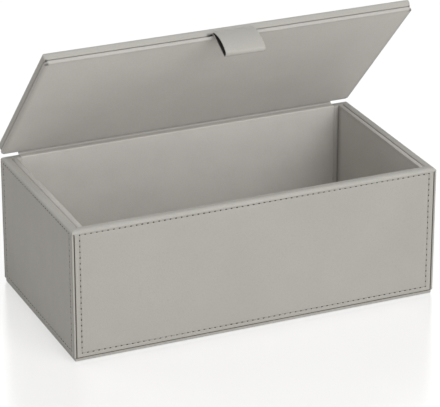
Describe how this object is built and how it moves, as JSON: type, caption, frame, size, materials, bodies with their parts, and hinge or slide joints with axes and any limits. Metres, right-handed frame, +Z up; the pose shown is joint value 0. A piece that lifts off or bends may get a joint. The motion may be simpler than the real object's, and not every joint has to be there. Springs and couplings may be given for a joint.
{
  "type": "stationery box",
  "caption": "Rectangular keepsake box in stitched leather over board, with a leather-hinged lid and a leather pull loop, for envelopes, cards and papers.",
  "frame": {"origin": "middle of the underside of the bottom, where the box rests", "axes": "+X to the right along the front, +Y from the front panel to the hinge, +Z up"},
  "size_m": [0.24, 0.1288, 0.1805],
  "materials": {
    "leather": "matt, fine grain",
    "lining_leather": "matt, smooth",
    "thread": "matt",
    "board": "raw grey fibreboard",
    "card": "raw grey card"
  },
  "bodies": {
    "box": {"bottom_cover": "leather", "bottom_card": "card", "floor_board": "board", "floor_card": "card", "floor_lining": "lining_leather", "front_board": "board", "back_board": "board", "left_board": "board", "right_board": "board", "front_cover": "leather", "back_cover": "leather", "left_cover": "leather", "right_cover": "leather", "front_stitching": "thread", "back_stitching": "thread", "left_stitching": "thread", "right_stitching": "thread", "front_left_edge_strip": "leather", "front_right_edge_strip": "leather", "back_left_edge_strip": "leather", "back_right_edge_strip": "leather", "left_lining_card": "card", "right_lining_card": "card", "left_lining": "lining_leather", "right_lining": "lining_leather", "hinge_strip_box_leaf": "leather"},
    "lid": {"hinge_strip_lid_leaf": "leather", "lid_board": "board", "lid_cover": "leather", "lid_stitching": "thread", "lid_lining_card": "card", "lid_lining": "lining_leather", "pull_loop_root": "leather"},
    "loop": {"pull_loop": "leather"}
  },
  "joints": [
    {"name": "lid_hinge", "type": "hinge", "parent": "box", "child": "lid", "pos_m": [0, 0.0634, 0.0866], "axis": [-1, 0, 0], "range_deg": [-46, 134]},
    {"name": "loop_flex", "type": "hinge", "parent": "lid", "child": "loop", "pos_m": [0, -0.02325, 0.17892], "axis": [-1, 0, 0], "range_deg": [-5, 75], "stiffness_Nm_per_rad": 0.004}
  ]
}
